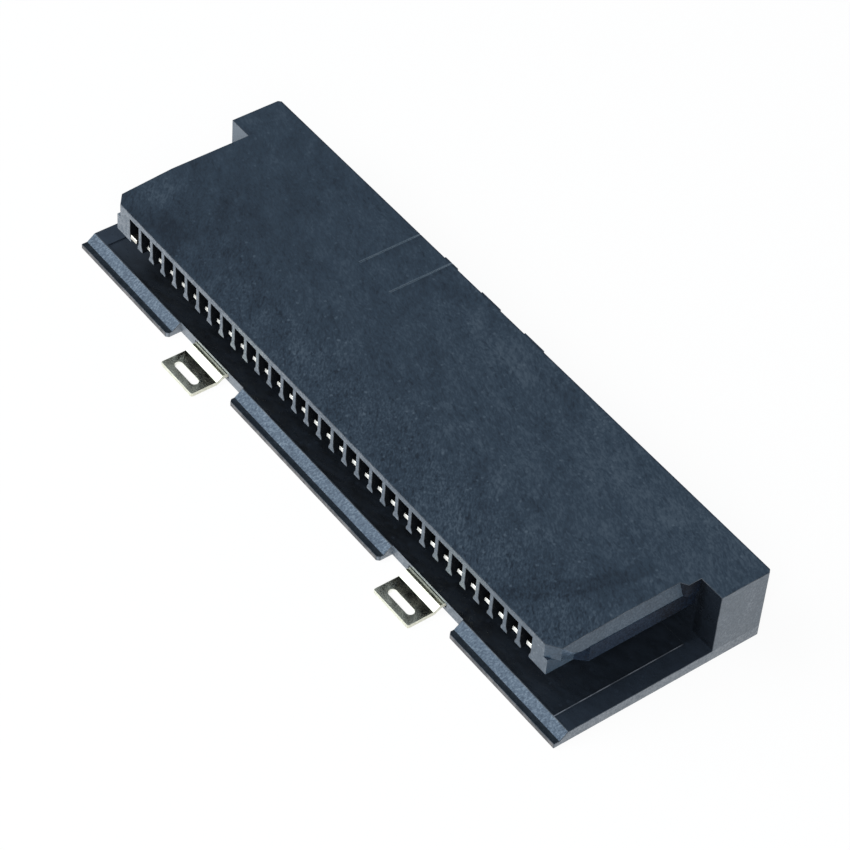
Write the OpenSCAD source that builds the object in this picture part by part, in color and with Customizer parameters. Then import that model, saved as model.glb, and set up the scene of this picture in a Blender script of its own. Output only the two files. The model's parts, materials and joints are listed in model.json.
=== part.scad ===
// Card edge connector: a moulded housing with a slotted tongue over a base plate, a row of stamped spring
// contacts in the tongue, and two stamped hold-down tabs in notches of the plate's front edge.
// Millimetres. X runs along the row of contacts, Y from the mouth to the rear, Z up from the board.

/* [Contact row] */
// number of contacts in the row
contact_count = 32; // [24:1:40]
// distance from one contact to the next
pitch = 1.5; // [1.4:0.05:2]

/* [Base plate] */
// thickness of the base plate
plate_t = 0.94; // [0.85:0.01:1.4]
// thickness of the thin lip at the mouth
lip_t = 0.41; // [0.3:0.01:0.6]
// flat depth of the lip
lip_d = 0.48; // [0.3:0.02:0.8]
// depth of the bevel from the lip up to the plate
bevel_d = 0.68; // [0.4:0.02:1]
// depth of the shallow recess in the top of the plate
recess_drop = 0.1; // [0.05:0.01:0.15]
// distance from the root of the tongue's side out to the edge of the recess
recess_margin = 0.5; // [0.3:0.05:0.8]
// strip of the plate between the back of the notches and the recess
recess_front = 0.06; // [0.04:0.01:0.3]
// length of the plate behind the recess
recess_rear = 1.12; // [0.6:0.02:2]

/* [Notches] */
// width of each notch in the front edge
notch_w = 7.97; // [6:0.01:9]
// depth of each notch
notch_d = 1.24; // [1.2:0.02:1.6]
// distance from the end of the plate to the notch
notch_end = 11.47; // [9:0.01:12]
// size of the broken corners at the mouth of a notch
notch_corner = 0.2; // [0.1:0.05:0.4]

/* [Card mouth and block] */
// height of the gap that takes the card
card_gap = 2.75; // [2.4:0.01:3.4]
// depth of the gap from the lip to the block
card_depth = 13.41; // [11:0.01:16]
// depth of the rear block
block_d = 4.36; // [3.6:0.02:6]
// width of the block's shoulder beside the tongue
shoulder_w = 2.11; // [1.6:0.01:3]
// size of the broken upright corners of the block
block_corner = 0.22; // [0.1:0.02:0.4]

/* [Tongue] */
// thickness of the tongue
tongue_t = 2.615; // [2.3:0.005:3]
// distance from the lip back to the front of the tongue
tongue_setback = 1.28; // [1:0.02:2]
// wall between the last slot and the front corner
end_wall = 1.27; // [0.8:0.01:1.6]
// sideways size of the lead-in chamfer at the front corner
corner_x = 0.9; // [0.5:0.01:1.2]
// size of the lead-in chamfer along the tongue
corner_y = 0.72; // [0.4:0.02:1.2]
// widening of the tongue from the chamfer to its root
side_taper = 0.37; // [0.1:0.01:0.5]
// length over which the tongue widens
side_run = 4.6; // [3:0.1:7]
// how far the right side's slanted face leans in at the top, toward the root
side_lean = 0.14; // [0.1:0.01:0.3]
// how far the foot of the slanted face stands out beside the front corner
side_draft = 0.13; // [0.08:0.01:0.2]
// slope of the slanted face's rear end, along the tongue over across it
side_slope = 0.7; // [0.4:0.05:1]
// distance from the block to the end of the slanted face
side_end = 1.24; // [1.1:0.02:2.4]
// thickness of the upper layer of the tongue
upper_t = 1.2; // [1:0.02:1.4]
// how far the lower layer's square corner stands out beside the upper one's front corner
lower_corner = 0.4; // [0.2:0.01:0.6]
// length of the narrow front part of the lower layer
lower_relief = 2.3; // [1.5:0.05:3]
// length over which the lower layer widens behind its narrow part
lower_flare = 0.75; // [0.3:0.05:1]
// how far the lower layer's side stands out under the slanted face
lower_step = 0.04; // [0.02:0.01:0.1]

/* [Slots] */
// width of a contact slot
slot_w = 1.14; // [1.1:0.01:1.2]
// thickness of the roof over the slots
roof_t = 0.51; // [0.4:0.005:0.8]
// widening of a rib's foot on each side
foot_w = 0.15; // [0.05:0.01:0.16]
// height of the foot
foot_h = 0.2; // [0.15:0.01:0.35]
// height of the slope from the foot to the rib
foot_slope = 0.36; // [0.25:0.01:0.5]

/* [Contacts] */
// width of the contact strip
contact_w = 0.76; // [0.6:0.01:0.78]
// thickness of the contact strip
contact_t = 0.3; // [0.2:0.01:0.34]
// how far the cut tip lies behind the front of the tongue
tip_setback = 0.42; // [0.3:0.02:0.6]
// height of the tip over the underside of the tongue
tip_rise = 0.43; // [0.35:0.01:0.6]
// length of the nearly level end of the tip
tip_flat = 0.5; // [0.3:0.05:0.8]
// how far the tip rises over that length
tip_slope = 0.09; // [0.02:0.01:0.15]
// distance from the tip to the lowest point of the spring bow
bow_run = 2.2; // [1.8:0.05:3]
// how far the bow's middle line hangs below the underside of the tongue
bow_drop = 0.42; // [0.3:0.02:0.6]
// inner radius of the spring bow
bow_r = 0.8; // [0.5:0.05:1.2]
// height of the contact's passage through the block over the underside of the tongue
pass_rise = 1.33; // [1.1:0.01:1.5]
// straight length of the contact in front of the block
pass_lead = 0.7; // [0.5:0.05:1.5]
// play between the contact and its passage on each side
pass_clear = 0.02; // [0.01:0.005:0.04]
// gap between the block and the upright part of the tail
tail_gap = 0.35; // [0.25:0.05:0.8]
// length of the tail's foot on the board
tail_foot = 1.6; // [1.2:0.1:2.5]
// inner radius of the tail's bends
tail_r = 0.25; // [0.15:0.05:0.5]
// contact that stands out of line
bent_contact = 1; // [0:1:40]
// how far the tip of that contact is pushed forward
bent_forward = 0.48; // [0:0.02:0.6]
// how much higher the tip of that contact stands
bent_lift = 0.15; // [0:0.01:0.25]

/* [Hold-down tabs] */
// width of a tab
tab_w = 3.95; // [3:0.05:5]
// thickness of a tab
tab_t = 0.3; // [0.2:0.01:0.32]
// how far a tab reaches out in front of the lip
tab_reach = 1.85; // [1.4:0.05:2.5]
// length of the tab's step, seen from above
tab_step_d = 0.55; // [0.4:0.05:0.7]
// height of the step
tab_step_h = 0.33; // [0.28:0.01:0.36]
// flat length between the step and the back of the notch
tab_root = 0.34; // [0.2:0.02:0.5]
// length of the tab inside the plate
tab_seat = 2; // [1.5:0.1:3]
// play beside a tab in its pocket
tab_side_clear = 0.15; // [0.05:0.01:0.25]
// play over a tab in its pocket
tab_top_clear = 0.05; // [0.03:0.01:0.08]
// radius of the tab's bends
tab_r = 0.1; // [0.05:0.05:0.2]
// radius of the tab's free corners
tab_corner = 0.15; // [0.1:0.05:0.3]
// length of the slot in a tab
tab_slot_l = 2.6; // [2:0.05:3.2]
// width of the slot in a tab
tab_slot_w = 0.62; // [0.5:0.02:0.9]
// distance from the tab's outer edge to the middle of the slot
tab_slot_in = 0.92; // [0.8:0.02:1.2]

/* [Mould marks] */
// depth of the two fine witness lines on the top of the block
mark_deep = 0.05; // [0.02:0.01:0.1]
// width of a witness line
mark_w = 0.08; // [0.05:0.01:0.15]
// distance between the two lines
mark_span = 3.7; // [2:0.1:6]
// place of the middle between the lines, from the middle of the row
mark_x = -8.78; // [-12:0.02:12]
// how far the lines run forward of the block
mark_lead = 1.2; // [0.5:0.1:2]
// how far the low pads stand out of the rear face
pad_out = 0.1; // [0.05:0.01:0.2]
// height of the pads
pad_h = 0.6; // [0.3:0.05:0.8]
// width of a pad
pad_w = 2.2; // [1:0.1:3]
// distance between the two wide pads
pad_span = 5; // [3:0.1:8]
// place of the middle between the wide pads
pad_x = 0.26; // [-4:0.02:4]
// width of the narrow pad
small_pad_w = 1.5; // [0.8:0.1:2]
// place of the narrow pad's middle
small_pad_x = -6.95; // [-10:0.05:-5]

/* [Hidden] */
row_half = (contact_count - 1) * pitch / 2;
front_half = row_half + slot_w / 2 + end_wall;
side_half = front_half + corner_x;
root_half = side_half + side_taper;
plate_half = root_half + shoulder_w;
recess_half = root_half + recess_margin;
lower_half = side_half + side_draft + lower_step;
body_d = card_depth + block_d;
tongue_z = plate_t + card_gap;
body_h = tongue_z + tongue_t;
layer_z = body_h - upper_t;
notch_x = plate_half - notch_end - notch_w / 2;
side_y = tongue_setback + corner_y;
pass_z = tongue_z + pass_rise;
tail_y = body_d + tail_gap + contact_t / 2;
tail_end = tail_y + tail_foot;
tip_y = tongue_setback + tip_setback;
mid_y = (tail_end - tab_reach) / 2;
cut = 1;
bend_steps = 4;
$fn = 32;

function contact_name(i) = str("contact_", i < 10 ? "0" : "", i);
function contact_x(i) = -row_half + (i - 1) * pitch;

// Path tools: a strip is a middle line with rounded bends, given a thickness.
function unit(v) = v / norm(v);
function side(v) = [-v[1], v[0]];
function turned(v, a) = [v[0] * cos(a) - v[1] * sin(a), v[0] * sin(a) + v[1] * cos(a)];
function cross_of(a, b) = a[0] * b[1] - a[1] * b[0];

function bend(a, b, c, r) =
    let (
        back = unit(a - b),
        ahead = unit(c - b),
        half = acos(back * ahead) / 2,
        hub = b + unit(back + ahead) * r / sin(half),
        start = b + back * r / tan(half),
        sweep = (180 - 2 * half) * sign(cross_of(b - a, c - b))
    )
    [for (k = [0 : bend_steps]) hub + turned(start - hub, sweep * k / bend_steps)];

function rounded(path, radii) = [
    path[0],
    for (i = [1 : len(path) - 2]) each bend(path[i - 1], path[i], path[i + 1], radii[i - 1]),
    path[len(path) - 1]
];

function miter(path, i) =
    let (
        last = len(path) - 1,
        before = side(unit(path[max(i, 1)] - path[max(i, 1) - 1])),
        after = side(unit(path[min(i, last - 1) + 1] - path[min(i, last - 1)]))
    )
    (before + after) / (1 + before * after);

function strip_outline(path, t) = concat(
    [for (i = [0 : len(path) - 1]) path[i] + miter(path, i) * t / 2],
    [for (i = [len(path) - 1 : -1 : 0]) path[i] - miter(path, i) * t / 2]
);

// A side view in Y and Z, drawn out along X to a width.
module along_x(width) {
    rotate([90, 0, 90])
        translate([0, 0, -width / 2])
            linear_extrude(height = width)
                children();
}

// A front view in X and Z, drawn out along Y to a depth.
module along_y(depth) {
    translate([0, depth, 0])
        rotate([90, 0, 0])
            linear_extrude(height = depth)
                children();
}

module both_ends() {
    children();
    mirror([1, 0, 0]) children();
}

// The origin is under the middle of the whole part.
module centred() {
    translate([0, -mid_y, 0]) children();
}

// Base plate with its lip and bevel.
module plate() {
    along_x(2 * plate_half)
        polygon([
            [0, 0], [body_d - block_corner, 0], [body_d - block_corner, plate_t],
            [lip_d + bevel_d, plate_t], [lip_d, lip_t], [0, lip_t]
        ]);
}

module recess() {
    front = notch_d + recess_front;
    translate([-recess_half, front, plate_t - recess_drop])
        cube([2 * recess_half, card_depth - recess_rear - front, card_gap / 2]);
}

module notch() {
    half = notch_w / 2;
    translate([notch_x, 0, -cut])
        linear_extrude(height = plate_t + 2 * cut)
            polygon([
                [-half - notch_corner, -cut], [half + notch_corner, -cut], [half + notch_corner, 0],
                [half, notch_corner], [half, notch_d], [-half, notch_d],
                [-half, notch_corner], [-half - notch_corner, 0]
            ]);
}

// Rear block over the full width.
module block() {
    c = block_corner;
    linear_extrude(height = body_h)
        polygon([
            [-plate_half, card_depth], [plate_half, card_depth], [plate_half, body_d - c],
            [plate_half - c, body_d], [-plate_half + c, body_d], [-plate_half, body_d - c]
        ]);
}

// Outlines of the tongue's two layers, seen from above.
module upper_outline() {
    front = tongue_setback;
    root = card_depth + block_d / 2;
    polygon([
        [-front_half, front], [front_half, front], [side_half, side_y],
        [root_half, side_y + side_run], [root_half, root], [-root_half, root],
        [-root_half, side_y + side_run], [-side_half, side_y]
    ]);
}

module lower_outline() {
    front = tongue_setback;
    root = card_depth + block_d / 2;
    corner = front_half + lower_corner;
    narrow = front + lower_relief;
    flare = narrow + lower_flare;
    polygon([
        [-corner, front], [corner, front], [corner, narrow], [lower_half, flare], [lower_half, root],
        [-lower_half, root], [-lower_half, flare], [-corner, narrow]
    ]);
}

// What the slanted face takes away from the right side of the upper layer.
module side_slant() {
    rear = card_depth - side_end;
    out = root_half + cut;
    foot = side_half + side_draft;
    head_front = side_half - side_draft * cut / upper_t;
    head_rear = side_half - side_lean - (side_lean + side_draft) * cut / upper_t;
    rear_out = rear + (out - foot) * side_slope;
    rear_head = rear - (foot - head_rear) * side_slope;
    polyhedron(
        points = [
            [foot, side_y, layer_z], [out, side_y, layer_z],
            [out, rear_out, layer_z], [foot, rear, layer_z],
            [head_front, side_y, body_h + cut], [out, side_y, body_h + cut],
            [out, rear_out, body_h + cut], [head_rear, rear_head, body_h + cut]
        ],
        faces = [
            [0, 1, 2], [0, 2, 3], [4, 6, 5], [4, 7, 6], [0, 4, 5], [0, 5, 1],
            [1, 5, 6], [1, 6, 2], [2, 6, 7], [2, 7, 3], [3, 7, 0], [7, 4, 0]
        ]
    );
}

module tongue() {
    difference() {
        union() {
            translate([0, 0, layer_z]) linear_extrude(height = upper_t) upper_outline();
            translate([0, 0, tongue_z]) linear_extrude(height = layer_z - tongue_z) lower_outline();
        }
        side_slant();
    }
}

// One contact slot, open to the front and below, narrowed by the feet of the ribs.
module slot() {
    wide = slot_w / 2;
    narrow = wide - foot_w;
    top = tongue_t - roof_t;
    translate([0, tongue_setback - cut, tongue_z])
        along_y(card_depth - tongue_setback + cut)
            polygon([
                [-narrow, -cut], [narrow, -cut], [narrow, foot_h], [wide, foot_h + foot_slope],
                [wide, top], [-wide, top], [-wide, foot_h + foot_slope], [-narrow, foot_h]
            ]);
}

// Passage of one contact through the block.
module passage() {
    w = contact_w + 2 * pass_clear;
    t = contact_t + 2 * pass_clear;
    translate([-w / 2, card_depth - cut / 2, pass_z - t / 2])
        cube([w, block_d + cut, t]);
}

// Pocket that holds the root of a hold-down tab inside the plate.
module tab_pocket() {
    w = tab_w + 2 * tab_side_clear;
    translate([notch_x - w / 2, notch_d - cut / 4, tab_step_h])
        cube([w, tab_seat + cut / 4, tab_t + tab_top_clear]);
}

module witness_lines() {
    for (s = [-1, 1])
        translate([mark_x + s * mark_span / 2 - mark_w / 2, card_depth - mark_lead, body_h - mark_deep])
            cube([mark_w, block_d + mark_lead + cut, cut]);
}

module rear_pad(x, w) {
    translate([x - w / 2, body_d - cut / 2, body_h - pad_h])
        cube([w, cut / 2 + pad_out, pad_h]);
}

module housing() {
    color("#2b333d")
        centred()
            difference() {
                union() {
                    difference() {
                        plate();
                        recess();
                        both_ends() notch();
                    }
                    block();
                    tongue();
                    for (s = [-1, 1]) rear_pad(pad_x + s * pad_span / 2, pad_w);
                    rear_pad(small_pad_x, small_pad_w);
                }
                for (i = [1 : contact_count])
                    translate([contact_x(i), 0, 0]) {
                        slot();
                        passage();
                    }
                both_ends() tab_pocket();
                witness_lines();
            }
}

// One stamped contact: cut tip, spring bow, beam, passage and tail.
function contact_path(i) =
    let (
        forward = i == bent_contact ? bent_forward : 0,
        lift = i == bent_contact ? bent_lift : 0
    )
    [
        [tip_y - forward, tongue_z + tip_rise + lift],
        [tip_y + tip_flat - forward, tongue_z + tip_rise - tip_slope + lift],
        [tip_y + bow_run - forward, tongue_z - bow_drop + lift],
        [card_depth - pass_lead, pass_z],
        [tail_y, pass_z],
        [tail_y, contact_t / 2],
        [tail_end, contact_t / 2]
    ];

module contact(i) {
    bow = bow_r + contact_t / 2;
    tail = tail_r + contact_t / 2;
    color("#d8cfb4")
        centred()
            translate([contact_x(i), 0, 0])
                along_x(contact_w)
                    polygon(strip_outline(rounded(contact_path(i), [bow, bow, bow, tail, tail]), contact_t));
}

// One stamped hold-down tab, stepped up from the board into its pocket, with one long slot.
function tab_path() =
    let (
        low = tab_t / 2,
        high = tab_step_h + tab_t / 2,
        bend_y = notch_d - tab_root
    )
    [[-tab_reach, low], [bend_y - tab_step_d, low], [bend_y, high], [notch_d + tab_seat, high]];

module tab_plan() {
    c = tab_corner;
    length = tab_reach + notch_d + tab_seat;
    translate([-tab_w / 2, -tab_reach + c]) square([tab_w, length - c]);
    translate([-tab_w / 2 + c, -tab_reach]) square([tab_w - 2 * c, length]);
    for (s = [-1, 1])
        translate([s * (tab_w / 2 - c), -tab_reach + c]) circle(r = c);
}

module tab_slot() {
    r = tab_slot_w / 2;
    run = tab_slot_l - tab_slot_w;
    translate([0, -tab_reach + tab_slot_in, -cut]) {
        for (s = [-1, 1])
            translate([s * run / 2, 0, 0]) cylinder(h = tab_t + 2 * cut, r = r);
        translate([-run / 2, -r, 0]) cube([run, 2 * r, tab_t + 2 * cut]);
    }
}

module tab() {
    bends = tab_r + tab_t / 2;
    difference() {
        intersection() {
            along_x(tab_w + cut) polygon(strip_outline(rounded(tab_path(), [bends, bends]), tab_t));
            translate([0, 0, -cut]) linear_extrude(height = plate_t + 2 * cut) tab_plan();
        }
        tab_slot();
    }
}

module hold_down_tab_left() {
    color("#b9b6a6") centred() translate([-notch_x, 0, 0]) tab();
}

module hold_down_tab_right() {
    color("#b9b6a6") centred() translate([notch_x, 0, 0]) tab();
}

housing();
for (i = [1 : contact_count]) contact(i);
hold_down_tab_left();
hold_down_tab_right();
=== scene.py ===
"""Looks of a card edge connector: dark glass-filled housing, plated contacts and hold-down tabs."""

import json
import math

import bpy
from mathutils import Matrix, Vector

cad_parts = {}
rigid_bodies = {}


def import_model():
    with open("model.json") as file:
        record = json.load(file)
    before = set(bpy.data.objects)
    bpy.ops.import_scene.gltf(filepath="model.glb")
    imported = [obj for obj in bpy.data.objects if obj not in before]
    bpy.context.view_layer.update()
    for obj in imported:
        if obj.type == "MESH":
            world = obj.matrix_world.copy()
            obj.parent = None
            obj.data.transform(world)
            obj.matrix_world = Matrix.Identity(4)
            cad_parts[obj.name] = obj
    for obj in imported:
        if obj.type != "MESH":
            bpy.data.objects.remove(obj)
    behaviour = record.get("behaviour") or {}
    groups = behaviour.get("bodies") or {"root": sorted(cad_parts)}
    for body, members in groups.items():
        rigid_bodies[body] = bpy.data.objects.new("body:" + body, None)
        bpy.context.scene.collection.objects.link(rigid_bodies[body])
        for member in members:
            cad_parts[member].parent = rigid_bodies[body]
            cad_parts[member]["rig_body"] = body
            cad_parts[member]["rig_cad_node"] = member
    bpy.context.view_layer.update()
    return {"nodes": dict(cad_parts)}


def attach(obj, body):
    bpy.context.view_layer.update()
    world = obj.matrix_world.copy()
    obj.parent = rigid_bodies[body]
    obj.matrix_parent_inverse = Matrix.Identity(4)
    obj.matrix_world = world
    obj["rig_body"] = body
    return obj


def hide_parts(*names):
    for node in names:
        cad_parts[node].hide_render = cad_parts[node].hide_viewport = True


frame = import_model()

MM = 0.001
CONTACTS = [name for name in frame["nodes"] if name.startswith("contact_")]
TABS = ["hold_down_tab_left", "hold_down_tab_right"]

# Places on the part in millimetres; depths count from the plate's front edge, heights from the board

MID_DEPTH = 9.01
TONGUE_FRONT = 1.28
RECESS_FRONT = 1.3
RECESS_REAR = 12.29
WITNESS_FRONT = 12.21
BLOCK_FRONT = 13.41
REAR = 17.77
LIP_HEIGHT = 0.41
RECESS_FLOOR = 0.84
PLATE_HEIGHT = 0.94
TONGUE_FLOOR = 3.69
LAYER_HEIGHT = 5.105
ROOF_HEIGHT = 5.795
TOP_HEIGHT = 6.305
ROOT_HALF = 26.36
RECESS_HALF = 26.86
NOTCH_HALF = 3.985
WITNESS_LINES = (-10.63, -6.93)
TAB_PLACE = 13.015
TAB_FRONT = -1.85
TAB_BEND = -0.2
TAB_THICKNESS = 0.3
TAB_SLOT_DEPTH = -0.93
TAB_SLOT_HALF_LENGTH = 1.3
TAB_SLOT_HALF_WIDTH = 0.31

# Limits between one finish and the next, in millimetres along the row or in depth

ROW_LIMIT = 23.9
FLANK_LIMIT = 24
FLANK_EDGE_LIMIT = 24.5
CORNER_LIMIT = 3
RELIEF_LIMIT = 4
FLANK_REAR_LIMIT = 12
FIRST_CONTACT_LIMIT = -22.6
CUT_END_LIMIT = 2.2

# How close counts as on the spot, in millimetres, and how straight a face looks along an axis

HAIR = 0.02
CLOSE = 0.05
LINE_REACH = 0.06
NEAR = 0.1
STRAIGHT = 0.9
MOSTLY = 0.7
SLANTED = 0.5
SIDEWAYS = 0.2

# Widths of the broken edges and the gap under the part, in millimetres

HOUSING_EDGE = 0.035
METAL_EDGE = 0.025
FLOOR_GAP = 0.02


def at_depth(value):
    """A depth in millimetres as a place along Y in metres."""
    return (value - MID_DEPTH) * MM


def on_part(point):
    """A point of a mesh as its place along the row, its depth and its height in millimetres."""
    return point.x / MM, point.y / MM + MID_DEPTH, point.z / MM


# Small helpers for nodes

def add(tree, kind, **values):
    node = tree.nodes.new(kind)
    for name, value in values.items():
        setattr(node, name, value)
    return node


def wire(tree, source, target):
    tree.links.new(source, target)


def feed(tree, value, socket):
    if isinstance(value, bpy.types.NodeSocket):
        wire(tree, value, socket)
    else:
        socket.default_value = value


def maths(tree, operation, first, second=0.0, clamp=False):
    node = add(tree, "ShaderNodeMath", operation=operation, use_clamp=clamp)
    feed(tree, first, node.inputs[0])
    feed(tree, second, node.inputs[1])
    return node.outputs[0]


def times(tree, first, second):
    return maths(tree, "MULTIPLY", first, second)


def total(tree, parts):
    result = parts[0]
    for part in parts[1:]:
        result = maths(tree, "ADD", result, part)
    return result


def clamped(tree, value):
    return maths(tree, "ADD", value, 0.0, clamp=True)


def swing(tree, value, strength):
    """A value around one half as a swing to both sides of nothing."""
    return times(tree, maths(tree, "SUBTRACT", value, 0.5), strength)


def lessened(tree, full, mask, share):
    """The full value, less the share where the mask is one."""
    return maths(tree, "SUBTRACT", full, times(tree, mask, share))


def spread(tree, value, low, high, to_low=0.0, to_high=1.0):
    node = add(tree, "ShaderNodeMapRange", interpolation_type="SMOOTHSTEP")
    feed(tree, value, node.inputs["Value"])
    node.inputs["From Min"].default_value = low
    node.inputs["From Max"].default_value = high
    node.inputs["To Min"].default_value = to_low
    node.inputs["To Max"].default_value = to_high
    return node.outputs["Result"]


def stripe(tree, value, middle, half_width):
    """One along a line across the value, with soft sides."""
    away = maths(tree, "ABSOLUTE", maths(tree, "SUBTRACT", value, middle * MM))
    return spread(tree, away, half_width * MM * 0.4, half_width * MM, 1.0, 0.0)


def mix_values(tree, share, first, second):
    node = add(tree, "ShaderNodeMix", data_type="FLOAT")
    feed(tree, share, node.inputs[0])
    feed(tree, first, node.inputs[2])
    feed(tree, second, node.inputs[3])
    return node.outputs[0]


def mix_colors(tree, share, first, second):
    node = add(tree, "ShaderNodeMix", data_type="RGBA")
    feed(tree, share, node.inputs[0])
    feed(tree, first, node.inputs[6])
    feed(tree, second, node.inputs[7])
    return node.outputs[2]


def colour_steps(tree, value, steps):
    node = add(tree, "ShaderNodeValToRGB")
    wire(tree, value, node.inputs["Fac"])
    ramp = node.color_ramp
    while len(ramp.elements) < len(steps):
        ramp.elements.new(0.5)
    for element, (at, color) in zip(ramp.elements, steps):
        element.position = at
        element.color = (*color, 1)
    return node.outputs["Color"]


def noise(tree, vector, scale, detail=2.0, roughness=0.5, distortion=0.0):
    node = add(tree, "ShaderNodeTexNoise")
    wire(tree, vector, node.inputs["Vector"])
    node.inputs["Scale"].default_value = scale
    node.inputs["Detail"].default_value = detail
    node.inputs["Roughness"].default_value = roughness
    node.inputs["Distortion"].default_value = distortion
    return node.outputs["Fac"]


def stretched(tree, vector, place, turn, size):
    node = add(tree, "ShaderNodeMapping", vector_type="TEXTURE")
    wire(tree, vector, node.inputs["Vector"])
    node.inputs["Location"].default_value = [v * MM for v in place]
    node.inputs["Rotation"].default_value = (0, 0, math.radians(turn))
    node.inputs["Scale"].default_value = [v * MM for v in size]
    return node.outputs["Vector"]


def raised(tree, height, distance, strength):
    node = add(tree, "ShaderNodeBump")
    node.inputs["Strength"].default_value = strength
    node.inputs["Distance"].default_value = distance * MM
    wire(tree, height, node.inputs["Height"])
    return node.outputs["Normal"]


def object_place(tree):
    return add(tree, "ShaderNodeTexCoord").outputs["Object"]


def split_axes(tree, place):
    axes = add(tree, "ShaderNodeSeparateXYZ")
    wire(tree, place, axes.inputs[0])
    return axes.outputs


def new_group(name, inputs, outputs):
    group = bpy.data.node_groups.new(name, "ShaderNodeTree")
    for socket, kind in inputs:
        group.interface.new_socket(socket, in_out="INPUT", socket_type=kind)
    for socket, kind in outputs:
        group.interface.new_socket(socket, in_out="OUTPUT", socket_type=kind)
    return group, group.nodes.new("NodeGroupInput"), group.nodes.new("NodeGroupOutput")


def place_group(tree, group, **values):
    node = add(tree, "ShaderNodeGroup", node_tree=group)
    for name, value in values.items():
        feed(tree, value, node.inputs[name])
    return node


def new_material(name):
    material = bpy.data.materials.new(name)
    material.use_nodes = True
    tree = material.node_tree
    return material, tree, tree.nodes["Principled BSDF"]


# Shared finishes

FLOAT = "NodeSocketFloat"
VECTOR = "NodeSocketVector"


def fibre_grain_group():
    """Short glass fibres that lie in the skin of the moulding, and the fine grain between them."""
    group, inside, outside = new_group(
        "fibre_grain",
        [("Place", VECTOR), ("Turn", FLOAT), ("Length", FLOAT), ("Width", FLOAT)],
        [("Fibres", FLOAT), ("Strokes", FLOAT), ("Grain", FLOAT)],
    )
    turn = add(group, "ShaderNodeCombineXYZ")
    wire(group, inside.outputs["Turn"], turn.inputs["Z"])
    size = add(group, "ShaderNodeCombineXYZ")
    wire(group, inside.outputs["Length"], size.inputs["X"])
    wire(group, inside.outputs["Width"], size.inputs["Y"])
    wire(group, inside.outputs["Width"], size.inputs["Z"])
    lie = add(group, "ShaderNodeMapping", vector_type="TEXTURE")
    wire(group, inside.outputs["Place"], lie.inputs["Vector"])
    wire(group, turn.outputs[0], lie.inputs["Rotation"])
    wire(group, size.outputs[0], lie.inputs["Scale"])
    along = lie.outputs["Vector"]
    fibre_noise = noise(group, along, 1.0, 1.5, 0.6, 0.4)
    stroke_noise = noise(group, along, 0.52, 1.0, 0.5, 0.5)
    wire(group, spread(group, fibre_noise, 0.28, 0.72), outside.inputs["Fibres"])
    wire(group, spread(group, stroke_noise, 0.57, 0.70), outside.inputs["Strokes"])
    wire(group, noise(group, along, 2.7, 2.0, 0.6), outside.inputs["Grain"])
    return group


def speck_group():
    """Scattered ends of fibres that catch the light."""
    group, inside, outside = new_group(
        "fibre_specks", [("Place", VECTOR), ("Spacing", FLOAT)], [("Specks", FLOAT)]
    )
    dots = add(group, "ShaderNodeTexVoronoi", feature="F1")
    wire(group, inside.outputs["Place"], dots.inputs["Vector"])
    wire(group, inside.outputs["Spacing"], dots.inputs["Scale"])
    dots.inputs["Randomness"].default_value = 1
    draw = add(group, "ShaderNodeSeparateColor")
    wire(group, dots.outputs["Color"], draw.inputs[0])
    chosen = spread(group, draw.outputs[0], 0.55, 0.9)
    near = spread(group, dots.outputs["Distance"], 0.12, 0.34, 1.0, 0.0)
    wire(group, times(group, near, chosen), outside.inputs["Specks"])
    return group


def rub_group():
    """Rubbed patches along a broken edge."""
    group, inside, outside = new_group("edge_rub", [("Place", VECTOR)], [("Rub", FLOAT), ("Dents", FLOAT)])
    place = inside.outputs["Place"]
    wire(group, spread(group, noise(group, place, 900.0, 3.0, 0.6), 0.42, 0.62), outside.inputs["Rub"])
    wire(group, noise(group, place, 5200.0, 2.0, 0.6), outside.inputs["Dents"])
    return group


FIBRE_GRAIN = fibre_grain_group()
FIBRE_SPECKS = speck_group()
EDGE_RUB = rub_group()


def fibres(tree, place, turn, length, width):
    return place_group(
        tree, FIBRE_GRAIN, Place=place, Turn=math.radians(turn), Length=length * MM, Width=width * MM
    )


def specks(tree, place, spacing):
    return place_group(tree, FIBRE_SPECKS, Place=place, Spacing=1 / (spacing * MM)).outputs["Specks"]


# Moulded plastic in its finishes; a lie is the fibres' turn in degrees, length and width

GRAIN_LIE = (0, 0.20, 0.16)
BEVEL_LIE = (70, 0.34, 0.13)
INSIDE_LIE = (12, 1.2, 0.6)
TOP_REAR_LIE = (-20, 0.34, 0.16)
TOP_FRONT_LIE = (-42, 0.32, 0.15)

# Soft marks of the melt on the upper face: centre, turn in degrees, size, strength

FLOW_MARKS = (
    ((-24.9, 4.9), -58, (4.6, 2.0), 0.22),
    ((-20.4, 7.2), -47, (4.4, 0.9), -0.14),
    ((-19.0, 12.6), -20, (4.0, 2.6), -0.10),
    ((-4.2, 16.0), 28, (3.4, 1.2), -0.16),
    ((3.2, 15.4), 0, (4.0, 1.8), 0.10),
    ((18.0, 14.6), 0, (6.0, 2.6), 0.08),
)
SMOOTH_PATCH = ((-21.2, 2.7), 20, (4.2, 3.2))
WELD_CENTRE = (1.75, 13.95)
WELD_RADIUS = 22.1
INSERT_LINE = 12.27
INSERT_SIDE = 7.06


def patch(tree, place, centre, turn, size):
    """A soft-edged mark: one in its middle, nothing outside its size."""
    x, depth = centre
    inside = stretched(tree, place, (x, depth - MID_DEPTH, TOP_HEIGHT), turn, (*size, 20))
    blob = add(tree, "ShaderNodeTexGradient", gradient_type="SPHERICAL")
    wire(tree, inside, blob.inputs["Vector"])
    return spread(tree, blob.outputs["Fac"], 0.0, 0.8)


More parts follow.
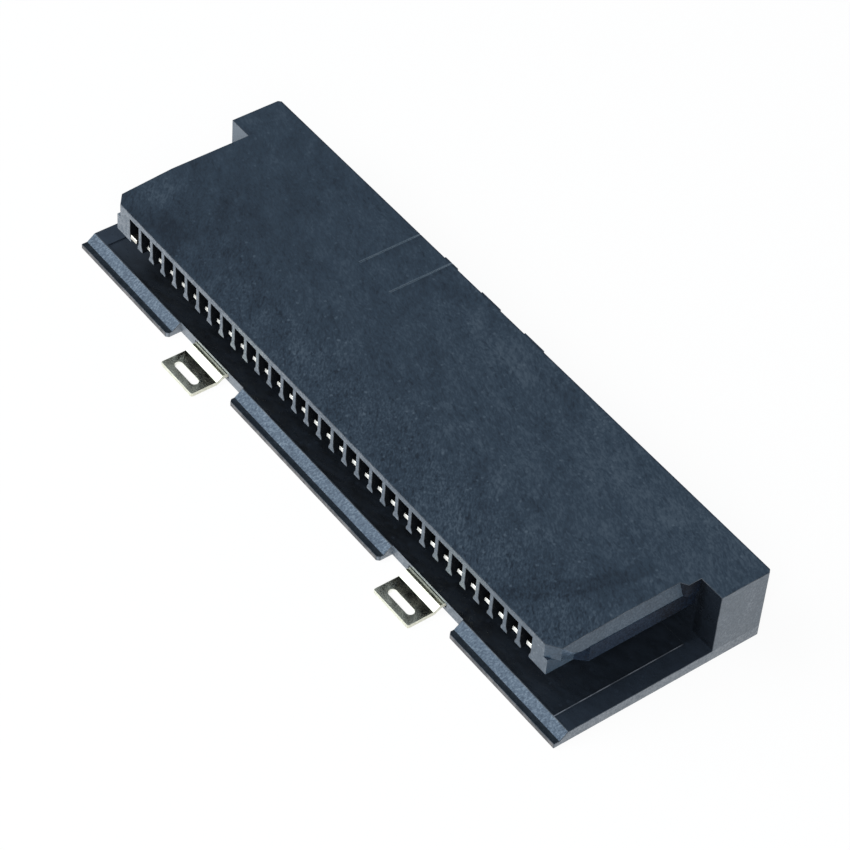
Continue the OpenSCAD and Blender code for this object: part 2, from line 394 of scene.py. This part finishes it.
def flow_of_melt(tree, place):
    """Places that wander as the melt ran, so that the fibres swirl."""
    wander = add(tree, "ShaderNodeVectorMath", operation="MULTIPLY_ADD")
    wire(tree, noise(tree, place, 140.0, 2.0, 0.5), wander.inputs[0])
    wander.inputs[1].default_value = (1.6 * MM, -1.6 * MM, 0)
    wire(tree, place, wander.inputs[2])
    return wander.outputs[0]


def weld_arc(tree, place, across, depth):
    """Arc at the right end, where two fronts of the melt met."""
    x, centre_depth = WELD_CENTRE
    away = add(tree, "ShaderNodeVectorMath", operation="DISTANCE")
    wire(tree, place, away.inputs[0])
    away.inputs[1].default_value = (x * MM, at_depth(centre_depth), TOP_HEIGHT * MM)
    arc = stripe(tree, away.outputs["Value"], WELD_RADIUS, 0.95)
    arc = times(tree, arc, spread(tree, across, 18.5 * MM, 21 * MM))
    return times(tree, arc, spread(tree, depth, at_depth(12.6), at_depth(10.5)))


def insert_marks(tree, across, depth):
    """Lines that the mould's insert left behind it; each witness line gets a painted highlight, with painted
    shadow fading out to its right.
    """
    behind = spread(tree, depth, at_depth(12.2), at_depth(12.4))
    front_line = stripe(tree, depth, INSERT_LINE - MID_DEPTH, 0.07)
    front_line = times(tree, front_line, spread(tree, across, -18 * MM, -14 * MM))
    side_line = times(tree, stripe(tree, across, INSERT_SIDE, 0.08), behind)
    marks = [times(tree, front_line, 0.08), times(tree, side_line, 0.10)]
    for x in WITNESS_LINES:
        from_line = spread(tree, across, (x - 0.02) * MM, (x + 0.05) * MM)
        fading = spread(tree, across, (x + 0.9) * MM, (x + 0.05) * MM)
        shadow_beside_line = times(tree, fading, times(tree, from_line, behind))
        line = times(tree, stripe(tree, across, x, 0.14), behind)
        # painted shadow to the right of each line and a painted highlight on the line
        marks += [times(tree, shadow_beside_line, -0.14), times(tree, line, 0.65)]
    return marks


def moulded_top():
    """Textured upper face: fibres lie along the flow of the melt, with weld marks and insert lines."""
    material, tree, bsdf = new_material("moulded_top")
    place = object_place(tree)
    across, depth, _ = split_axes(tree, place)
    flowing = flow_of_melt(tree, place)
    rear = fibres(tree, flowing, *TOP_REAR_LIE)
    front = fibres(tree, flowing, *TOP_FRONT_LIE)
    to_front = spread(tree, depth, at_depth(9.5), at_depth(4))
    to_middle = spread(tree, depth, at_depth(6.5), at_depth(9.5))
    to_left = spread(tree, across, 4 * MM, -24 * MM)
    strokes = mix_values(tree, to_front, rear.outputs["Strokes"], front.outputs["Strokes"])
    grain = mix_values(tree, to_front, rear.outputs["Fibres"], front.outputs["Fibres"])
    smooth_patch = patch(tree, place, *SMOOTH_PATCH)
    clarity = times(tree, lessened(tree, 1.2, smooth_patch, 0.5), lessened(tree, 1.0, to_middle, 0.38))
    clarity = times(tree, clarity, lessened(tree, 1.0, to_left, 0.3))
    fine = total(tree, [
        swing(tree, grain, 0.42),
        times(tree, strokes, -0.24),
        times(tree, specks(tree, flowing, 0.46), 0.36),
    ])
    flakes = noise(tree, stretched(tree, flowing, (0, 0, 0), -35, (0.7, 0.42, 1)), 1.0, 1.0, 0.5, 0.4)
    clouds = noise(tree, stretched(tree, place, (0, 0, 0), -32, (2.4, 1.2, 1)), 1.0, 2.0, 0.5, 0.6)
    drift = noise(tree, stretched(tree, place, (4, 9, 0), -20, (8, 4, 1)), 1.0, 2.0, 0.5, 1.0)
    tone = total(tree, [
        times(tree, fine, clarity),
        swing(tree, flakes, mix_values(tree, to_middle, 0.30, 0.20)),
        swing(tree, clouds, mix_values(tree, to_middle, 0.66, 0.46)),
        swing(tree, drift, 0.45),
        times(tree, smooth_patch, -0.22),
        *[times(tree, patch(tree, place, *mark), strength) for *mark, strength in FLOW_MARKS],
        times(tree, weld_arc(tree, place, across, depth), -0.18),
        *insert_marks(tree, across, depth),
        spread(tree, across, -26 * MM, 16 * MM, 0.37, 0.475),
        spread(tree, depth, at_depth(7), at_depth(15), 0.0, 0.07),
        # painted shade: a darker rim along the rear edge of the upper face
        spread(tree, depth, at_depth(REAR - 0.17), at_depth(REAR - 0.05), 0.0, -0.32),
    ])
    color = colour_steps(tree, clamped(tree, tone), (
        (0.0, (0.006, 0.013, 0.024)), (0.5, (0.022, 0.038, 0.059)), (1.0, (0.062, 0.086, 0.114)),
    ))
    wire(tree, color, bsdf.inputs["Base Color"])
    wire(tree, spread(tree, grain, 0.0, 1.0, 0.50, 0.42), bsdf.inputs["Roughness"])
    wire(tree, raised(tree, grain, 0.006, 0.5), bsdf.inputs["Normal"])
    bsdf.inputs["Specular IOR Level"].default_value = 0.5
    return material


def moulded_wall(name, tones, lie, rough, gloss, left_painted_light=0.0, contrast=0.36, plate_painted_light=0.0, rear_painted_shade=0.0):
    """Plain walls: the same plastic with a closer grain; painted light makes them paler to the left by lift
    and on the plate by plate_painted_light, and painted shade makes them darker to the rear by deepen."""
    material, tree, bsdf = new_material(name)
    place = object_place(tree)
    across, depth, height = split_axes(tree, place)
    grain = fibres(tree, place, *lie).outputs["Fibres"]
    parts = [
        swing(tree, grain, contrast),
        times(tree, specks(tree, place, 0.34), 0.20),
        swing(tree, noise(tree, place, 900.0, 2.0, 0.5), 0.50),
        # painted light: paler toward the left end
        spread(tree, across, 26 * MM, -30 * MM, 0.42, 0.42 + left_painted_light),
    ]
    # painted light on the walls below the plate's top edge
    if plate_painted_light:
        over, under = (PLATE_HEIGHT + 0.06) * MM, (PLATE_HEIGHT - 0.09) * MM
        parts.append(spread(tree, height, over, under, 0.0, plate_painted_light))
    # painted shade: darker toward the rear
    if rear_painted_shade:
        parts.append(spread(tree, depth, at_depth(8), at_depth(12.5), 0.0, -rear_painted_shade))
    deep, middle, pale = tones
    tone = clamped(tree, total(tree, parts))
    color = colour_steps(tree, tone, ((0.0, deep), (0.5, middle), (1.0, pale)))
    wire(tree, color, bsdf.inputs["Base Color"])
    wire(tree, spread(tree, grain, 0.0, 1.0, rough + 0.06, rough - 0.06), bsdf.inputs["Roughness"])
    wire(tree, raised(tree, grain, 0.004, 0.5), bsdf.inputs["Normal"])
    bsdf.inputs["Specular IOR Level"].default_value = gloss
    return material


def polished_inside():
    """Smooth near-black faces of the card gap and the plate, with painted light toward both ends, a painted
    highlight along the right edge of its recess, and painted light and shade on the block's front face
    beside the tongue.
    """
    material, tree, bsdf = new_material("polished_inside")
    place = object_place(tree)
    across, depth, height = split_axes(tree, place)
    skin = fibres(tree, place, *INSIDE_LIE)
    margin = spread(tree, across, (-RECESS_HALF + 0.02) * MM, (-RECESS_HALF - 0.02) * MM)
    on_plate = spread(tree, height, (PLATE_HEIGHT - 0.06) * MM, (PLATE_HEIGHT - 0.02) * MM)
    tone = total(tree, [
        times(tree, skin.outputs["Fibres"], 0.12),
        times(tree, times(tree, margin, on_plate), 0.16),
        # painted light: paler toward both ends, out from under the tongue
        spread(tree, across, -22 * MM, -27.5 * MM, 0.0, 0.40),
        spread(tree, across, 17 * MM, 26 * MM, 0.0, 0.12),
        spread(tree, across, 26.7 * MM, 27.2 * MM, 0.0, 0.20),
        times(tree, specks(tree, place, 0.6), 0.12),
    ])
    color = colour_steps(tree, tone, ((0.0, (0.0050, 0.0064, 0.0086)), (1.0, (0.034, 0.049, 0.073))))
    rub = place_group(tree, EDGE_RUB, Place=place).outputs["Rub"]
    # painted highlight along the right edge of the recess, made patchy by the rub pattern
    line = stripe(tree, across, RECESS_HALF + 0.04, 0.055)
    at_top = spread(tree, height, (PLATE_HEIGHT - 0.02) * MM, (PLATE_HEIGHT - 0.005) * MM)
    before_rear = spread(tree, depth, at_depth(12.3), at_depth(12.0))
    line = times(tree, times(tree, line, at_top), before_rear)
    line = times(tree, line, maths(tree, "ADD", times(tree, rub, 0.75), 0.5))
    color = mix_colors(tree, line, color, (0.138, 0.153, 0.180, 1))
    # painted light on the block's front face left of the tongue
    over_plate = spread(tree, height, (PLATE_HEIGHT + 0.06) * MM, (PLATE_HEIGHT + 0.16) * MM)
    left_shoulder_light = spread(tree, across, (-ROOT_HALF + 0.06) * MM, (-ROOT_HALF - 0.06) * MM)
    color = mix_colors(tree, times(tree, left_shoulder_light, over_plate), color, (0.105, 0.135, 0.170, 1))
    # painted shade on the block's front face right of the tongue, at half strength
    right_gap_shade = spread(tree, across, (ROOT_HALF - 0.06) * MM, (ROOT_HALF + 0.06) * MM, 0.0, 0.5)
    color = mix_colors(tree, times(tree, right_gap_shade, over_plate), color, (0.0025, 0.0032, 0.0042, 1))
    wire(tree, color, bsdf.inputs["Base Color"])
    wire(tree, spread(tree, skin.outputs["Grain"], 0.3, 0.7, 0.27, 0.35), bsdf.inputs["Roughness"])
    wire(tree, raised(tree, skin.outputs["Grain"], 0.002, 0.3), bsdf.inputs["Normal"])
    bsdf.inputs["Specular IOR Level"].default_value = 0.4
    return material


def worn_edge(name, plain, rubbed):
    """Broken edges: rubbed paler in patches."""
    material, tree, bsdf = new_material(name)
    rub = place_group(tree, EDGE_RUB, Place=object_place(tree))
    color = colour_steps(tree, rub.outputs["Rub"], ((0.0, plain), (1.0, rubbed)))
    wire(tree, color, bsdf.inputs["Base Color"])
    wire(tree, spread(tree, rub.outputs["Rub"], 0.0, 1.0, 0.48, 0.36), bsdf.inputs["Roughness"])
    wire(tree, raised(tree, rub.outputs["Dents"], 0.004, 0.5), bsdf.inputs["Normal"])
    bsdf.inputs["Specular IOR Level"].default_value = 0.5
    return material


# Tones of the walls from deep to pale

WALL_TONES = ((0.012, 0.034, 0.056), (0.036, 0.062, 0.092), (0.150, 0.175, 0.205))
HALF_SHADE_TONES = ((0.010, 0.024, 0.043), (0.027, 0.053, 0.084), (0.078, 0.110, 0.148))
BEVEL_TONES = ((0.026, 0.046, 0.076), (0.062, 0.096, 0.140), (0.160, 0.210, 0.265))
SHADE_TONES = ((0.002, 0.004, 0.009), (0.009, 0.019, 0.038), (0.022, 0.037, 0.062))
SLOT_SHADE_TONES = ((0.002, 0.003, 0.004), (0.004, 0.005, 0.007), (0.010, 0.012, 0.015))
LIP_TONES = ((0.006, 0.009, 0.013), (0.012, 0.017, 0.023), (0.026, 0.034, 0.046))

HOUSING_FINISHES = [
    moulded_top(),
    moulded_wall("moulded_wall", WALL_TONES, GRAIN_LIE, rough=0.36, gloss=1.0, left_painted_light=0.35, plate_painted_light=0.36),
    # painted shade: a darker copy of the wall plastic for the tongue's sides
    moulded_wall("half_shaded_side", HALF_SHADE_TONES, GRAIN_LIE, rough=0.42, gloss=0.65),
    moulded_wall("moulded_bevel", BEVEL_TONES, BEVEL_LIE, rough=0.42, gloss=0.35, left_painted_light=0.04, contrast=0.6),
    moulded_wall("shaded_side", SHADE_TONES, GRAIN_LIE, rough=0.55, gloss=0.15, rear_painted_shade=0.32),
    polished_inside(),
    worn_edge("worn_edge", (0.026, 0.036, 0.050), (0.070, 0.082, 0.100)),
    # painted highlight: the faces of the witness lines, pale so that the grooves read as lit ridges
    worn_edge("witness_highlight", (0.11, 0.15, 0.19), (0.17, 0.21, 0.25)),
    worn_edge("worn_side", (0.062, 0.063, 0.068), (0.126, 0.120, 0.121)),
    # painted shade: a near-black copy of the wall plastic for the slots and the tongue's underside
    moulded_wall("slot_shade", SLOT_SHADE_TONES, GRAIN_LIE, rough=0.60, gloss=0.05),
    moulded_wall("lip_top", LIP_TONES, GRAIN_LIE, rough=0.60, gloss=0.05, left_painted_light=0.1),
]
TOP, WALL, HALF_SHADE, BEVEL, SHADE, INSIDE, EDGE, WITNESS_HIGHLIGHT, WORN, SLOT_SHADE, LIP = range(len(HOUSING_FINISHES))


def on_witness_line(x, depth, height):
    beside = min(abs(x - line) for line in WITNESS_LINES)
    return beside < LINE_REACH and height > TOP_HEIGHT - LINE_REACH and depth > WITNESS_FRONT - NEAR


def along_recess(depth):
    return RECESS_FRONT - NEAR < depth < RECESS_REAR + NEAR


def level_finish(x, height, on_tongue):
    """Finish of a face that looks up."""
    if height > TOP_HEIGHT - HAIR:
        return TOP
    if on_tongue and abs(x) > FLANK_LIMIT:
        return SHADE if x > 0 else WALL
    return LIP if height < LIP_HEIGHT + CLOSE else INSIDE


def flank_finish(x, depth, height, normal):
    """Finish of the tongue's two sides, each a painted shade: the full one under the lower layer and at the
    rear, a lighter one elsewhere.
    """
    # painted light: the right-facing upper faces at the front right corner take the paler bevel finish
    if x > 0 and depth < CORNER_LIMIT and height > LAYER_HEIGHT and normal.x > STRAIGHT:
        return BEVEL
    under_layer = depth > RELIEF_LIMIT and height < LAYER_HEIGHT
    return SHADE if under_layer or depth > FLANK_REAR_LIMIT else HALF_SHADE


def upright_finish(x, depth, height):
    """Finish of an upright wall, before the tongue's sides get their own."""
    beside_notch = abs(abs(x) - TAB_PLACE) < NOTCH_HALF + HAIR
    if height < PLATE_HEIGHT and along_recess(depth) and abs(x) < RECESS_HALF + CLOSE and not beside_notch:
        return INSIDE
    if depth < CLOSE and height < LIP_HEIGHT:
        return WORN
    if abs(depth - BLOCK_FRONT) < CLOSE:
        return INSIDE
    in_row = abs(x) < ROW_LIMIT and height > TONGUE_FLOOR + HAIR
    return SLOT_SHADE if in_row and TONGUE_FRONT + HAIR < depth < REAR - CLOSE else WALL


def housing_finish(normal, centre):
    x, depth, height = on_part(centre)
    on_tongue = TONGUE_FRONT - NEAR < depth < BLOCK_FRONT and height > TONGUE_FLOOR - NEAR
    # painted highlight on the witness lines' faces
    if on_witness_line(x, depth, height):
        return WITNESS_HIGHLIGHT
    if normal.z > STRAIGHT:
        return level_finish(x, height, on_tongue)
    if normal.z < -STRAIGHT:
        return SLOT_SHADE if on_tongue else INSIDE
    if normal.z > SLANTED and height < PLATE_HEIGHT:
        return BEVEL
    finish = upright_finish(x, depth, height)
    if finish == WALL and on_tongue and abs(x) > FLANK_LIMIT and abs(normal.x) > SIDEWAYS:
        return flank_finish(x, depth, height, normal)
    return finish


def housing_edge(middle):
    """How far an edge is broken, as a share of the full width."""
    x, depth, height = on_part(middle)
    at_recess = RECESS_FLOOR - HAIR < height < PLATE_HEIGHT + HAIR and along_recess(depth)
    behind_front = TONGUE_FRONT + CLOSE < depth < BLOCK_FRONT + NEAR
    in_row = abs(x) < ROW_LIMIT and TONGUE_FLOOR - HAIR < height < ROOF_HEIGHT + NEAR
    beside_gap = TONGUE_FRONT - NEAR < depth < BLOCK_FRONT - NEAR
    on_flank = abs(x) > FLANK_EDGE_LIMIT and TONGUE_FLOOR - HAIR < height < TOP_HEIGHT - HAIR
    kept_sharp = (
        on_witness_line(x, depth, height)
        or at_recess and abs(x) < RECESS_HALF + NEAR
        or in_row and behind_front
        or on_flank and beside_gap
    )
    return 0.0 if kept_sharp else 1.0


# Pieces: a copy of a solid with its outward edges slightly broken

MERGE_DISTANCE = 0.001
FLAT_TURN = math.radians(0.5)
LEAST_EDGE_TURN = math.radians(20)
LEAST_DROP = 1e-4
SMOOTH_TURN = math.radians(25)


def merged_copy(node_name, new_name):
    """A selected copy of a solid, with its doubles merged and its flat faces joined."""
    source = frame["nodes"][node_name]
    bpy.ops.object.select_all(action="DESELECT")
    piece = source.copy()
    piece.data = source.data.copy()
    piece.name = new_name
    piece.data.name = new_name
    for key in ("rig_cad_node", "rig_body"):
        if key in piece:
            del piece[key]
    piece.parent = None
    bpy.context.scene.collection.objects.link(piece)
    bpy.context.view_layer.objects.active = piece
    piece.select_set(True)
    bpy.ops.object.mode_set(mode="EDIT")
    bpy.ops.mesh.select_all(action="SELECT")
    bpy.ops.mesh.remove_doubles(threshold=MERGE_DISTANCE * MM)
    bpy.ops.mesh.dissolve_limited(angle_limit=FLAT_TURN)
    bpy.ops.object.mode_set(mode="OBJECT")
    return piece


def lay_finishes(mesh, finishes, finish_of):
    mesh.materials.clear()
    for finish in finishes:
        mesh.materials.append(finish)
    for face in mesh.polygons:
        face.material_index = finish_of(face.normal, face.center)


def outward_edges(mesh):
    """Edges where two faces meet in an outward corner."""
    sides = {}
    for face in mesh.polygons:
        for loop in face.loop_indices:
            corner = mesh.loops[loop]
            edge = mesh.edges[corner.edge_index]
            start = corner.vertex_index
            end = edge.vertices[1] if edge.vertices[0] == start else edge.vertices[0]
            along = (mesh.vertices[end].co - mesh.vertices[start].co).normalized()
            sides.setdefault(edge.index, []).append((face.normal.copy(), face.normal.cross(along)))
    found = []
    for index, pair in sides.items():
        if len(pair) == 2:
            (normal, _), (other, inward) = pair
            if normal.angle(other, 0.0) > LEAST_EDGE_TURN and inward.dot(normal) < -LEAST_DROP:
                found.append(index)
    return found


def break_edges(piece, width, segments, edge_finish, edge_share):
    mesh = piece.data
    shares = mesh.attributes.new("bevel_weight_edge", "FLOAT", "EDGE")
    for index in outward_edges(mesh):
        first, second = mesh.edges[index].vertices
        shares.data[index].value = edge_share((mesh.vertices[first].co + mesh.vertices[second].co) / 2)
    bevel = piece.modifiers.new("edge_break", "BEVEL")
    bevel.limit_method = "WEIGHT"
    bevel.width = width * MM
    bevel.segments = segments
    bevel.use_clamp_overlap = False
    bevel.loop_slide = False
    bevel.material = edge_finish
    bpy.ops.object.modifier_apply(modifier=bevel.name)


def even_shading(piece):
    bpy.ops.object.shade_smooth_by_angle(angle=SMOOTH_TURN)
    even = piece.modifiers.new("even_normals", "WEIGHTED_NORMAL")
    even.keep_sharp = True
    even.weight = 100
    bpy.ops.object.modifier_apply(modifier=even.name)


def broken_edge_copy(node_name, new_name, width, segments, finishes, finish_of, edge_finish, edge_share):
    piece = merged_copy(node_name, new_name)
    lay_finishes(piece.data, finishes, finish_of)
    break_edges(piece, width, segments, edge_finish, edge_share)
    even_shading(piece)
    piece.select_set(False)
    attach(piece, "root")
    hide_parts(node_name)
    return piece


housing = broken_edge_copy(
    "housing", "housing_moulding", HOUSING_EDGE, 2, HOUSING_FINISHES, housing_finish, EDGE, housing_edge
)

# Plated metal; a lie is the grain's turn in degrees, length and width

STRIP_LIE = (90, 0.9, 0.25)
CUT_END_LIE = (0, 0.2, 0.2)
TAB_LIE = (0, 2.4, 0.8)
TAB_EDGE_LIE = (0, 0.6, 0.2)


def plating(name, light, dark, lie, rough, metal, painted_dark_reflection=None, upper=None):
    """Plated strip; on a tab, a painted dark reflection of the housing grows inward over its flat and its
    raised root has its own tone.
    """
    material, tree, bsdf = new_material(name)
    place = object_place(tree)
    skin = fibres(tree, place, *lie)
    color = colour_steps(tree, skin.outputs["Fibres"], ((0.0, dark), (1.0, light)))
    if painted_dark_reflection:
        _, depth, height = split_axes(tree, place)
        inward = spread(tree, depth, at_depth(TAB_FRONT + 0.2), at_depth(TAB_BEND))
        on_flat = spread(tree, height, (TAB_THICKNESS + 0.04) * MM, (TAB_THICKNESS + 0.01) * MM)
        on_root = spread(tree, height, (TAB_THICKNESS + 0.2) * MM, (TAB_THICKNESS + 0.3) * MM)
        # painted reflection: darker over the flat toward the housing
        color = mix_colors(tree, times(tree, inward, on_flat), color, painted_dark_reflection)
        color = mix_colors(tree, on_root, color, upper)
    wire(tree, color, bsdf.inputs["Base Color"])
    dullness = spread(tree, skin.outputs["Grain"], 0.3, 0.7, rough - 0.03, rough + 0.05)
    wire(tree, dullness, bsdf.inputs["Roughness"])
    wire(tree, raised(tree, skin.outputs["Fibres"], 0.0004, 0.2), bsdf.inputs["Normal"])
    bsdf.inputs["Metallic"].default_value = metal
    return material


CONTACT_FINISHES = [
    plating("contact_plating", (0.93, 0.90, 0.82), (0.82, 0.78, 0.68), STRIP_LIE, rough=0.26, metal=1.0),
    plating("contact_cut_end", (0.98, 0.97, 0.93), (0.92, 0.90, 0.83), CUT_END_LIE, rough=0.42, metal=0.25),
    # painted shade: a darker copy of the cut-end finish for the first contact's end
    plating("contact_shaded_end", (0.66, 0.63, 0.56), (0.52, 0.49, 0.43), CUT_END_LIE, rough=0.45, metal=0.25),
]
PLATED, CUT_END, SHADED_END = range(len(CONTACT_FINISHES))

TAB_FINISHES = [
    plating(
        "tab_plating", (0.80, 0.79, 0.66), (0.72, 0.71, 0.58), TAB_LIE, rough=0.19, metal=1.0,
        painted_dark_reflection=(0.50, 0.51, 0.43, 1), upper=(0.62, 0.62, 0.49, 1),
    ),
    plating("tab_cut_edge", (0.76, 0.75, 0.63), (0.62, 0.61, 0.50), TAB_EDGE_LIE, rough=0.40, metal=0.15),
    plating("tab_slot_wall", (0.97, 0.97, 0.93), (0.93, 0.93, 0.88), TAB_EDGE_LIE, rough=0.40, metal=0.15),
]
TAB_FLAT, TAB_EDGE, TAB_SLOT_WALL = range(len(TAB_FINISHES))


def contact_finish(normal, centre):
    x, depth, _ = on_part(centre)
    if normal.y > -MOSTLY or depth > CUT_END_LIMIT:
        return PLATED
    return SHADED_END if x < FIRST_CONTACT_LIMIT else CUT_END


def tab_finish(normal, centre):
    x, depth, _ = on_part(centre)
    along_slot = abs(abs(x) - TAB_PLACE) < TAB_SLOT_HALF_LENGTH + NEAR
    across_slot = abs(depth - TAB_SLOT_DEPTH) < TAB_SLOT_HALF_WIDTH + NEAR
    if along_slot and across_slot and abs(normal.z) < SLANTED:
        return TAB_SLOT_WALL
    return TAB_EDGE if depth < TAB_FRONT + HAIR or abs(normal.x) > STRAIGHT else TAB_FLAT


def every_edge(middle):
    return 1.0


for name in CONTACTS:
    contact = broken_edge_copy(
        name, name + "_spring", METAL_EDGE, 1, CONTACT_FINISHES, contact_finish, PLATED, every_edge
    )
for name in TABS:
    tab = broken_edge_copy(
        name, name + "_stamping", METAL_EDGE, 2, TAB_FINISHES, tab_finish, TAB_EDGE, every_edge
    )

# Camera at the photograph's angle

CAMERA_PLACE = Vector((122.377, -101.328, 163.727)) * MM
CAMERA_RIGHT = Vector((0.59513, 0.80141, 0.05963))
CAMERA_UP = Vector((-0.60074, 0.39437, 0.69540))
CAMERA_BACK = Vector((0.53379, -0.44968, 0.71614))
SENSOR_WIDTH = 36
FOCAL_LENGTH = 136.17

lens = bpy.data.cameras.new("camera")
lens.sensor_width = SENSOR_WIDTH
lens.lens = FOCAL_LENGTH
lens.clip_start = 0.01
camera = bpy.data.objects.new("camera", lens)
camera_turn = Matrix((CAMERA_RIGHT, CAMERA_UP, CAMERA_BACK)).transposed()
camera.matrix_world = Matrix.Translation(CAMERA_PLACE) @ camera_turn.to_4x4()
bpy.context.scene.collection.objects.link(camera)
bpy.context.scene.camera = camera

# Floor, light and background in metres

FLOOR_SIZE = 3
FLOOR_GLOW = 0.93


def floor_white():
    """Plain white to the camera and in reflections, and it still takes the part's shadow."""
    material, tree, bsdf = new_material("floor_white")
    bsdf.inputs["Base Color"].default_value = (0.95, 0.95, 0.95, 1)
    bsdf.inputs["Roughness"].default_value = 0.9
    bsdf.inputs["Specular IOR Level"].default_value = 0
    paths = add(tree, "ShaderNodeLightPath")
    seen = maths(tree, "ADD", paths.outputs["Is Camera Ray"], paths.outputs["Is Glossy Ray"])
    seen = maths(tree, "ADD", seen, paths.outputs["Is Transmission Ray"], clamp=True)
    glow = add(tree, "ShaderNodeEmission")
    glow.inputs["Color"].default_value = (1, 1, 1, 1)
    glow.inputs["Strength"].default_value = 1
    blend = add(tree, "ShaderNodeMixShader")
    wire(tree, times(tree, seen, FLOOR_GLOW), blend.inputs[0])
    wire(tree, bsdf.outputs[0], blend.inputs[1])
    wire(tree, glow.outputs[0], blend.inputs[2])
    wire(tree, blend.outputs[0], tree.nodes["Material Output"].inputs["Surface"])
    return material


def soft_light(name, place, size, power, color):
    lamp = bpy.data.lights.new(name, "AREA")
    lamp.shape = "SQUARE"
    lamp.size = size
    lamp.energy = power
    lamp.color = color
    holder = bpy.data.objects.new(name, lamp)
    holder.location = place
    holder.rotation_euler = (-Vector(place)).to_track_quat("-Z", "Y").to_euler()
    bpy.context.scene.collection.objects.link(holder)


bpy.ops.object.select_all(action="DESELECT")
bpy.ops.mesh.primitive_plane_add(size=FLOOR_SIZE, location=(0, 0, -FLOOR_GAP * MM))
floor = bpy.context.object
floor.name = "floor"
floor.data.materials.append(floor_white())

soft_light("front_left_softbox", (-0.32, -0.33, 0.37), size=0.56, power=3.4, color=(0.90, 0.96, 1.0))
soft_light("front_right_key", (0.42, -0.36, 0.45), size=0.40, power=3.6, color=(1, 1, 1))

world = bpy.data.worlds.new("studio")
bpy.context.scene.world = world
world.use_nodes = True
backdrop = world.node_tree.nodes["Background"]
backdrop.inputs["Color"].default_value = (0.82, 0.92, 1, 1)
backdrop.inputs["Strength"].default_value = 0.2

bpy.context.scene.view_settings.view_transform = "Standard"
